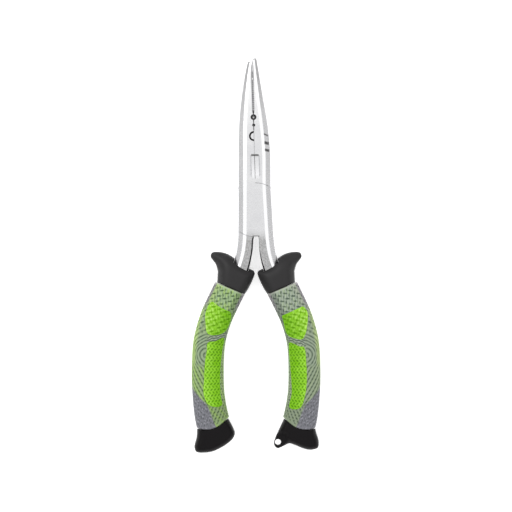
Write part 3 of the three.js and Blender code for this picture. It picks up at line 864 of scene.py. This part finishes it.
# ---- soft mouldings
def inflate(name, outline, half, radius, power, smooth):
    """A moulding on an outline, rounded from its rim over radius up to half(x, y)."""
    insets, step = (0.05, 0.18, 0.42, 0.8), 0.45
    rim = resample(outline, 0.4, closed=True)
    n = len(rim)
    normal = np.roll(rim, -1, axis=0) - np.roll(rim, 1, axis=0)
    normal = np.c_[-normal[:, 1], normal[:, 0]] / np.linalg.norm(normal, axis=1)[:, None]
    if not inside(rim[:1] + normal[:1] * 0.2, rim)[0]:
        normal = -normal
    lo, hi = rim.min(0), rim.max(0)
    gx = np.arange(lo[0], hi[0], step)
    gy = np.arange(lo[1], hi[1], step * 0.87)
    grid = np.array([(x + (j % 2) * step / 2, y) for j, y in enumerate(gy) for x in gx])
    grid = grid[inside(grid, rim)]
    grid = grid[distance_to(grid, rim) > 1.05]
    extra = []
    for d in insets:
        ring = rim + normal * d
        keep = inside(ring, rim) & (distance_to(ring, rim) > d * 0.9)
        extra.append(ring[keep])
    points = np.vstack([rim] + extra + [grid])
    edges = [(i, (i + 1) % n) for i in range(n)]
    out = delaunay_2d_cdt([Vector(p) for p in points.tolist()], edges, [], 1, 1e-5)
    xy = np.array([tuple(v) for v in out[0]])
    tris = [tuple(f) for f in out[2]]
    d = distance_to(xy, rim)
    rise = (1 - (1 - np.clip(d / radius, 0, 1)) ** power) ** (1 / power)
    z = rise * half(xy[:, 0], xy[:, 1])
    link = np.array([(f[i], f[(i + 1) % 3]) for f in tris for i in range(3)])
    link = np.unique(np.sort(link, axis=1), axis=0)
    count = np.bincount(link.ravel(), minlength=len(xy)).astype(float)
    ease_in = 0.5 * ease(d, 0.6, 2.2)
    for _ in range(smooth):
        total = np.bincount(link[:, 0], z[link[:, 1]], len(xy))
        total += np.bincount(link[:, 1], z[link[:, 0]], len(xy))
        z = z + ease_in * (total / np.maximum(count, 1) - z)
    on_rim = d < 1e-4
    z[on_rim] = 0
    lower = np.where(on_rim, np.arange(len(xy)), -1)
    lower[~on_rim] = len(xy) + np.arange((~on_rim).sum())
    verts = np.vstack([np.c_[xy, MID + z], np.c_[xy[~on_rim], MID - z[~on_rim]]])
    faces = tris + [tuple(int(lower[i]) for i in reversed(f)) for f in tris]
    return make(name, verts, faces)


GUARD_TOP = [(-22.0, -35.5), (-23.2, -31.6), (-26.2, -27.0), (-25.4, -24.9), (-22.6, -24.3),
             (-17.3, -25.2), (-12.8, -27.7), (-8.4, -31.6), (-2.8, -34.5), (-0.9, -35.5),
             (-0.35, -37.0)]
GUARD_ROOT = [(-0.9, -38.9), (-2.6, -42.9), (-4.4, -46.3), (-6.0, -48.6), (-7.9, -52.2),
              (-24.6, -45.6), (-22.3, -41.8)]
CAPS = {
    "left": [(-34.0, -127.7), (-34.3, -132.3), (-35.6, -138.1), (-34.4, -140.9),
             (-30.0, -141.4), (-24.8, -140.6), (-19.1, -137.9), (-13.6, -133.7),
             (-12.0, -130.1), (-12.9, -127.0), (-15.7, -121.7), (-17.8, -118.2),
             (-33.7, -123.6)],
    "right": [(34.7, -126.4), (35.4, -129.6), (36.8, -134.4), (36.4, -138.4), (32.0, -139.7),
              (27.5, -138.8), (22.6, -136.8), (19.6, -136.0), (16.2, -137.6), (12.8, -138.8),
              (11.1, -137.4), (10.8, -135.3), (11.7, -132.2), (14.0, -127.1), (16.7, -121.4),
              (18.6, -117.8), (34.2, -122.6)],
}


def shank_passage(side):
    """The room a guard leaves for its shank."""
    outer, inner = (head_left, crotch_left) if side < 0 else (head_right, crotch_right)
    rings = []
    for y in (-39, -34.4, -30, -26.2, -22):
        x0, x1 = outer(y) + side * 0.1, inner(y) - side * 0.1
        z0, z1 = MID - half_depth(y) - 0.12, MID + half_depth(y) + 0.12
        rings.append([(x0, y, z1), (x1, y, z1), (x1, y, z0), (x0, y, z0)])
    return solid(rings)


def build_guard(name):
    """A collar with its finger wing, hollow for the shank and the tang."""
    side = SIDES[name]
    outline = np.vstack([catmull(GUARD_TOP), GUARD_ROOT])
    outline = flip(outline, side)

    def half(x, y):
        x = x if side < 0 else 2 * HANDLE_AXIS - x
        wing = ease(-x, 12.5, 23.5) * ease(y, -38, -29)
        return 7.3 - 2.6 * wing

    obj = inflate(f"{name}_guard_body", outline, half, 7.5, 2.05, 40)
    (x0, y0), (x1, y1) = GUARD_LINE
    slope = (y1 - y0) / (x1 - x0)
    below = [(x, y0 + slope * (x - x0) + 0.1) for x in (-45, 8)] + [(8, -70), (-45, -70)]
    boolean(obj, prism(flip(np.array(below), side)))
    boolean(obj, shank_passage(side))
    boolean(obj, tang(side, 25, 0.2, 12))
    return tidy(obj, 38)


def build_cap(name):
    """An end cap; the right one thins to a drilled lanyard tab."""
    side = SIDES[name]
    outline = catmull(CAPS[name], closed=True)

    def half(x, y):
        if name == "left":
            return np.full(len(x), 6.9)
        tab = ease(19.4 - x, -1.2, 2.4) * ease(-y, 127.5, 131.5)
        return 6.9 + (3.5 - 6.9) * tab

    obj = inflate(f"{name}_cap", outline, half, 3.6, 2.2, 12)
    line = CAP_LINE - [0, 0.1]
    above = np.vstack([line, [(-5, -100), (-45, -100), (-45, line[0, 1])]])
    boolean(obj, prism(flip(above, side)))
    if name == "right":
        boolean(obj, bar(13.1, -135.1, 1.75))
    return tidy(obj, 38)


# ---- steel pieces
def build_steel():
    """Both steel halves, cut from one head as the CAD cuts them."""
    head = solid([head_ring(y) for y in np.arange(-38, 90.1, 1.0)])
    boolean(head, crotch_tool())
    crotch_edge = [(-15.9, 0.9), (-15.3, 0.9), (-15.0, 0.0), (-15.3, -1.4), (-15.9, -1.4)]
    for face in (1, -1):
        boolean(head, solid([
            [(x, y, MID + face * (5.25 + z)) for y, z in crotch_edge] for x in (-1.75, 2.25)
        ]))
    crimp = mating(CRIMP_Y)
    halves = {}
    for name, jaw_side in (("front", -1), ("rear", 1)):
        out = -jaw_side * 30
        half = copy_of(head, f"{name}_steel")
        boolean(half, prism(jaw_area(jaw_side, TIPS[jaw_side])), "INTERSECT")
        if jaw_side < 0:
            notch = [(2.92, -6), (2.92, -4.3), (1.94, -2.4), (1.94, 2.4), (2.92, 4.3), (2.92, 6)]
            boolean(half, lathe(crimp, CRIMP_Y, notch))
        else:
            bump = copy_of(head, "bump")
            boolean(bump, bar(crimp, CRIMP_Y, 1.91), "INTERSECT")
            boolean(half, bump, "UNION")
        shank = copy_of(head, "shank")
        boolean(shank, prism([(0.3, -12), (0.3, -45), (out, -45), (out, -12)]), "INTERSECT")
        boolean(half, shank, "UNION")
        own = (MID + 0.04, MID + 30) if jaw_side < 0 else (MID - 30, MID - 0.04)
        other = (MID - 30, MID + 0.04) if jaw_side < 0 else (MID - 0.04, MID + 30)
        boolean(half, bar(0, 0, LAP_RADIUS + 0.24, *other, count=160))
        plate = copy_of(head, "plate")
        boolean(plate, bar(0, 0, LAP_RADIUS, *own, count=160), "INTERSECT")
        boolean(half, plate, "UNION")
        halves[name] = half
    bpy.data.objects.remove(head)
    for name, half in halves.items():
        side = 1 if name == "front" else -1
        for face in (1, -1):
            boolean(half, tooth_tool(face))
            boolean(half, groove_tool(face))
            boolean(half, cutter_tool(face))
            boolean(half, tip_tool(TIPS[-side], face))
        boolean(half, recess(GRIP_HOLE_Y, 1.7, 0.95, 0.25, 1.7))
        boolean(half, recess(SHOT_HOLE_Y, 0.88, 0.4, 0.12, 1.3))
        boolean(half, tang(side, 88, 0, 14), "UNION")
        boolean(half, lathe(0, 0, [(5.57, -6.25), (3.42, -3.65), (3.42, 3.65), (5.57, 6.25)], 96))
        tidy(half, 24)
    return halves


def build_rivet():
    """A flush rivet with softly broken edges."""
    shape = [(4.72, -5.25), (4.8, -5.17), (3.4, -3.65), (3.4, 3.65), (4.8, 5.17), (4.72, 5.25)]
    rivet = lathe(0, 0, shape, 96)
    rivet.name = "rivet"
    return tidy(rivet, 30)


def between(values, lo, hi):
    return (values > lo) & (values < hi)


def paint_wall_shade(obj):
    """Gives the walls by the seam, the cutter's slit, the crotch walls and the inner tooth
    notches the dark steel as painted shade, and the cutter pocket's end, the hole floors and the
    outer tooth notches the dull steel as lighter painted shade.
    """
    mesh = obj.data
    n = len(mesh.polygons)
    centre, normal = np.empty(n * 3), np.empty(n * 3)
    mesh.polygons.foreach_get("center", centre)
    mesh.polygons.foreach_get("normal", normal)
    centre, normal = centre.reshape(-1, 3) / MM, normal.reshape(-1, 3)
    x, y = centre[:, 0], centre[:, 1]
    steep = np.abs(normal[:, 2])
    seam = np.abs(x - mating(y))
    pocket = (seam < 3.2) & between(y, 17, 33.2)
    below = head_thickness(y) / 2 - np.abs(centre[:, 2] - MID)
    notch = (seam < 0.8) & between(y, 56.2, 81) & (below < 1.6) & ((steep < 0.6) | (below > 1.0))
    hole_floor = (seam < 1.2) & between(y, 48, 56) & between(below, 1.1, 2.4)
    # Index 2 is lighter painted shade: the cutter pocket's top end, the hole floors and the outer
    # tooth notches.
    dull = pocket & (normal[:, 1] < -0.4) | hole_floor | notch & (y >= 68)
    crotch = between(y, -44, -14.9) & between(x, crotch_left(y) - 1.3, crotch_right(y) + 1.3)
    # Index 1 is near-black painted shade: walls by the seam, the cutter's slit, the crotch walls
    # and the inner tooth notches.
    dark = (steep < 0.75) & (seam < 3.4) & between(y, 33.2, 57) & (below < 3.2)
    dark |= pocket & (seam < 0.16) | crotch & (steep < 0.85) | notch & (y < 68)
    which = np.where(dark, 1, np.where(dull, 2, 0)).astype(np.int32)
    mesh.polygons.foreach_set("material_index", which)


# ---- materials
class Nodes:
    """Short ways to add and join a material's nodes."""

    def __init__(self, tree):
        self.tree = tree

    def feed(self, **values):
        """Sets or joins the shader's sockets, named with underscores for spaces."""
        shader = self.tree.nodes["Principled BSDF"]
        for key, value in values.items():
            self.put(shader.inputs[key.replace("_", " ")], value)

    def put(self, socket, value):
        if isinstance(value, bpy.types.NodeSocket):
            self.tree.links.new(value, socket)
        elif hasattr(value, "__len__") and len(value) == 3 and socket.type == "RGBA":
            socket.default_value = (*value, 1)
        else:
            socket.default_value = value

    def add(self, kind, inputs=None, out=0, **settings):
        node = self.tree.nodes.new("ShaderNode" + kind)
        for key, value in settings.items():
            setattr(node, key, value)
        for key, value in (inputs or {}).items():
            self.put(node.inputs[key], value)
        return node.outputs[out]

    def math(self, operation, *values):
        return self.add("Math", dict(enumerate(values)), operation=operation)

    def blend(self, factor, a, b, mode="MIX"):
        inputs = {0: factor, 6: a, 7: b}
        return self.add("Mix", inputs, 2, data_type="RGBA", blend_type=mode)

    def scale(self, value, lo, hi, to_lo=0.0, to_hi=1.0):
        return self.add("MapRange", {0: value, 1: lo, 2: hi, 3: to_lo, 4: to_hi})

    def place(self):
        return self.add("TexCoord", out=3)

    def noise(self, vector, scale, detail=3.0, rough=0.55):
        inputs = {"Vector": vector, "Scale": scale, "Detail": detail, "Roughness": rough}
        return self.add("TexNoise", inputs)

    def stretch(self, vector, sx, sy, sz):
        return self.add("Mapping", {"Vector": vector, "Scale": (sx, sy, sz)})

    def attribute(self, name, out=2):
        return self.add("Attribute", out=out, attribute_name=name)

    def bump(self, height, strength, distance, normal=None):
        inputs = {"Height": height, "Strength": strength, "Distance": distance}
        if normal is not None:
            inputs["Normal"] = normal
        return self.add("Bump", inputs)


def material(name):
    mat = bpy.data.materials.new(name)
    mat.use_nodes = True
    return mat, Nodes(mat.node_tree)


# Each etched bar's centre, half width, half height and lean.
MARKS = ((6.1, 43.7, 1.15, 0.3, -0.4), (6.5, 38.9, 1.2, 0.75, -0.18),
         (6.75, 34.7, 1.15, 0.65, -0.2))


def steel_material(name, marks=False):
    """Ground steel: lighter up the jaws as polish with a painted highlight, with painted shade on
    the steep facets near the tips, worked on the shanks, and with etched bars if marks.
    """
    mat, n = material(name)
    place = n.place()
    split = n.add("SeparateXYZ", {0: place}).node
    x, y, z = split.outputs
    upright = n.add("SeparateXYZ", {0: n.add("NewGeometry", out=1)}, 2)
    facing = n.math("ABSOLUTE", upright)
    flat = n.scale(facing, 0.988, 0.996)
    unpolished = n.math("MULTIPLY", flat, n.scale(y, -0.011, -0.018))
    grain = n.noise(place, 2600.0, 4.0)
    coarse = n.noise(place, 1500.0, 4.0, 0.7)
    brushed = n.noise(n.stretch(place, 900, 4500, 900), 1.0, 3.0)
    cloud = n.noise(place, 90.0, 3.0)
    colour = n.blend(cloud, (0.765, 0.765, 0.785), (0.815, 0.815, 0.82))
    # The jaws' upward faces are lighter: polished steel with a painted highlight.
    level = n.scale(facing, 0.84, 0.95)
    polish_and_highlight = n.math("MULTIPLY", level, n.scale(y, 0.05, 0.066, 0.0, 0.85))
    colour = n.blend(polish_and_highlight, colour, (0.96, 0.96, 0.96))
    # The steep facets near the jaw tips are darkened as painted shade.
    rim = n.math("MULTIPLY", n.scale(facing, 0.92, 0.82), n.scale(y, 0.058, 0.078, 0.0, 0.6))
    colour = n.blend(rim, colour, (0.45, 0.45, 0.45))
    colour = n.blend(n.scale(grain, 0.35, 0.65, 0.0, 0.12), colour, (0.62, 0.62, 0.64))
    streaks = n.noise(n.stretch(place, 2600, 900, 2600), 1.0, 4.0, 0.7)
    worked = n.blend(n.scale(streaks, 0.3, 0.7), (0.2, 0.2, 0.2), (0.62, 0.62, 0.62))
    colour = n.blend(unpolished, colour, worked)
    rough = n.scale(brushed, 0.3, 0.7, 0.2, 0.3)
    rough = n.math("ADD", rough, n.scale(cloud, 0.3, 0.7, -0.02, 0.04))
    rough = n.math("ADD", rough, n.math("MULTIPLY", unpolished, 0.2))
    if marks:
        total = None
        for cx, cy, hx, hy, lean in MARKS:
            dx = n.math("MULTIPLY_ADD", x, 1000.0, -cx)
            dy = n.math("MULTIPLY_ADD", y, 1000.0, -cy)
            dy = n.math("ADD", dy, n.math("MULTIPLY", dx, -lean))
            across = n.scale(n.math("ABSOLUTE", dx), hx, hx + 0.25, 1.0, 0.0)
            along = n.scale(n.math("ABSOLUTE", dy), hy, hy + 0.25, 1.0, 0.0)
            one = n.math("MULTIPLY", across, along)
            total = one if total is None else n.math("MAXIMUM", total, one)
        front = n.scale(z, 0.005, 0.006)
        worn = n.scale(n.noise(place, 1500.0), 0.3, 0.62, 1.0, 0.75)
        etch = n.math("MULTIPLY", n.math("MULTIPLY", total, front), worn)
        colour = n.blend(etch, colour, (0.03, 0.028, 0.028))
        rough = n.math("ADD", rough, n.math("MULTIPLY", etch, 0.3))
    pits = n.bump(coarse, 0.25, 0.00004, n.bump(grain, 0.12, 0.00002))
    n.feed(Metallic=1.0, Base_Color=colour, Roughness=rough,
           Normal=n.bump(brushed, 0.1, 0.00002, pits))
    return mat


def shade_steel_material(name, low, high):
    """Darker steel that paints the shade inside the slots and holes."""
    mat, n = material(name)
    cloud = n.noise(n.place(), 700.0)
    n.feed(Metallic=0.6, Base_Color=n.blend(cloud, low, high),
           Roughness=n.scale(cloud, 0.3, 0.7, 0.5, 0.75),
           Normal=n.bump(n.noise(n.place(), 3000.0), 0.3, 0.00004))
    return mat


def plastic_material(name, low, high, rough_low, rough_high, shine):
    """Satin moulded plastic with a fine grain."""
    mat, n = material(name)
    place = n.place()
    grain = n.noise(place, 3800.0, 2.0)
    cloud = n.noise(place, 120.0, 3.0)
    colour = n.blend(cloud, low, high)
    colour = n.blend(n.scale(grain, 0.45, 0.75, 0.0, 0.25), colour, tuple(1.6 * c for c in high))
    rough = n.math("ADD", n.scale(cloud, 0.3, 0.7, rough_low, rough_high),
                   n.scale(grain, 0.3, 0.7, -0.04, 0.06))
    n.feed(Specular_IOR_Level=shine, Base_Color=colour, Roughness=rough,
           Normal=n.bump(grain, 0.25, 0.00004))
    return mat


def rubber_material(name, gap, fleck, rough, shine):
    """Soft moulding in the mesh's own tint, darker in the gaps of its relief as painted shade."""
    mat, n = material(name)
    place = n.place()
    tint, relief = n.attribute("tint", 0), n.attribute("relief")
    grain = n.noise(place, 2600.0, 3.0)
    cloud = n.noise(place, 260.0, 3.0)
    # gap darkens the relief's gaps as painted shade.
    gap_shade = n.blend(1.0, tint, gap, "MULTIPLY")
    colour = n.blend(n.scale(relief, 0.15, 0.85), gap_shade, tint)
    colour = n.blend(n.scale(grain, 0.5, 0.75, 0.0, fleck), colour, (0.85, 0.87, 0.85))
    dusty = n.blend(1.0, colour, (0.6, 0.62, 0.6), "MULTIPLY")
    colour = n.blend(n.scale(cloud, 0.3, 0.7, 0.0, 0.16), colour, dusty)
    matt = n.math("ADD", n.scale(grain, 0.3, 0.7, rough - 0.06, rough + 0.08),
                  n.scale(relief, 0.0, 1.0, 0.12, 0.0))
    n.feed(Specular_IOR_Level=shine, Base_Color=colour, Roughness=matt,
           Normal=n.bump(grain, 0.3, 0.00006))
    return mat


def floor_material():
    mat, n = material("floor")
    shade = n.blend(n.noise(n.place(), 6.0), (0.9, 0.9, 0.9), (0.93, 0.93, 0.93))
    n.feed(Roughness=0.9, Base_Color=shade, Emission_Color=shade, Emission_Strength=0.6)
    return mat


# ---- build and attach
def wear(obj, *mats):
    """Gives obj these materials and no others."""
    obj.data.materials.clear()
    for mat in mats:
        obj.data.materials.append(mat)
    return obj


def attach(obj, body, slot, *nodes):
    """Rides obj on its body in place of the CAD nodes; slot is not used."""
    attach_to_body(obj, body)
    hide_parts(*nodes)


BODY = {"left": "rear_assembly", "right": "front_assembly"}
# Two darker steels that paint the shade in the slots, holes, notches and crotch.
painted_shade_steel = shade_steel_material("painted_shade_steel", (0.01, 0.01, 0.011), (0.035, 0.035, 0.036))
painted_soft_shade_steel = shade_steel_material("painted_soft_shade_steel", (0.12, 0.12, 0.12), (0.3, 0.3, 0.3))
halves = build_steel()
wear(halves["front"], steel_material("front_steel_finish"), painted_shade_steel, painted_soft_shade_steel)
wear(halves["rear"], steel_material("rear_steel_finish", marks=True), painted_shade_steel, painted_soft_shade_steel)
for half in halves.values():
    paint_wall_shade(half)
attach(halves["front"], "front_assembly", "steel", "front_half")
attach(halves["rear"], "rear_assembly", "steel", "rear_half")
rivet = wear(build_rivet(), steel_material("rivet_finish"))
attach(rivet, "rear_assembly", "steel", "pivot_rivet")

guard_finish = plastic_material("guard_plastic", (0.017, 0.0165, 0.017), (0.022, 0.021, 0.022),
                                0.4, 0.48, 0.26)
cap_finish = plastic_material("cap_plastic", (0.006, 0.0053, 0.0058), (0.008, 0.007, 0.0077),
                              0.38, 0.48, 0.08)
core_finish = plastic_material("core_plastic", (0.02, 0.02, 0.022), (0.03, 0.03, 0.032),
                               0.55, 0.65, 0.3)
# The second value of each rubber is the painted shade in its weave's gaps.
skin_finish = rubber_material("skin_rubber", (0.23, 0.28, 0.25), 0.08, 0.6, 0.2)
pad_finish = rubber_material("pad_rubber", (0.42, 0.5, 0.1), 0.01, 0.5, 0.1)

for handle in ("left", "right"):
    body = BODY[handle]
    attach(wear(build_guard(handle), guard_finish), body, "guard", f"{handle}_guard")
    attach(wear(build_cap(handle), cap_finish), body, "end_cap", f"{handle}_end_cap")
    skin = wear(build_skin(handle, 184, 0.3), skin_finish)
    attach(skin, body, "grip_skin", f"{handle}_grip_skin")
    for place in ("upper", "lower"):
        for face, face_name in ((1, "front"), (-1, "back")):
            pad = wear(build_pad(handle, place, face, 0.25), pad_finish)
            attach(pad, body, "pad", f"{handle}_pad_{face_name}_{place}")
    wear(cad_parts[f"{handle}_grip_core"], core_finish)

# ---- stage
FLOOR_TOP, FLOOR_DEPTH, FLOOR_HALF = -2.1, 10.0, 3000
floor = make("floor", *tube([
    [(x * FLOOR_HALF, y * FLOOR_HALF, z) for x, y in ((-1, -1), (1, -1), (1, 1), (-1, 1))]
    for z in (FLOOR_TOP - FLOOR_DEPTH, FLOOR_TOP)
]))
wear(floor, floor_material())

world = bpy.data.worlds.new("studio")
bpy.context.scene.world = world
world.use_nodes = True
sky = Nodes(world.node_tree)
direction = sky.add("TexCoord", out=0)
split = sky.add("SeparateXYZ", {0: direction}).node
tilt = sky.math("MULTIPLY", sky.math("ARCCOSINE", split.outputs[2]), 180 / math.pi)
bands = sky.add("FloatCurve", {"Value": sky.math("DIVIDE", tilt, 180.0)}).node
line = bands.mapping.curves[0]
LEVELS = [(0, 0.87), (12, 0.87), (22, 1.2), (27, 1.42), (40, 1.42), (50, 0.85), (58, 0.72),
          (66, 0.69), (90, 0.66), (100, 0.6), (180, 0.6)]
line.points[0].location = (0, LEVELS[0][1] / 2)
line.points[1].location = (1, LEVELS[-1][1] / 2)
for angle, level in LEVELS[1:-1]:
    line.points.new(angle / 180, level / 2)
for point in line.points:
    point.handle_type = "VECTOR"
bands.mapping.update()
background = world.node_tree.nodes["Background"]
background.inputs["Color"].default_value = (1.0, 1.0, 1.0, 1)
sky.put(background.inputs["Strength"], sky.math("MULTIPLY", bands.outputs[0], 2.0))


def lamp(name, place, target, size, power):
    """A soft square light aimed at a target."""
    light = bpy.data.lights.new(name, "AREA")
    light.size = size
    light.energy = power
    obj = place_in_scene(name, light)
    obj.location = place
    obj.rotation_euler = (Vector(target) - Vector(place)).to_track_quat("-Z", "Y").to_euler()


lamp("key", (-0.9, 0.75, 1.1), (0, -0.03, 0), 0.9, 5.0)

camera = place_in_scene("camera", bpy.data.cameras.new("camera"))
camera.data.lens = 200
camera.data.sensor_width = 36
camera.data.clip_start = 0.05
camera.data.clip_end = 20
camera.location = (0.00029, -0.0268, MID * MM + 1.658)
bpy.context.scene.camera = camera
bpy.context.scene.view_settings.view_transform = "Standard"
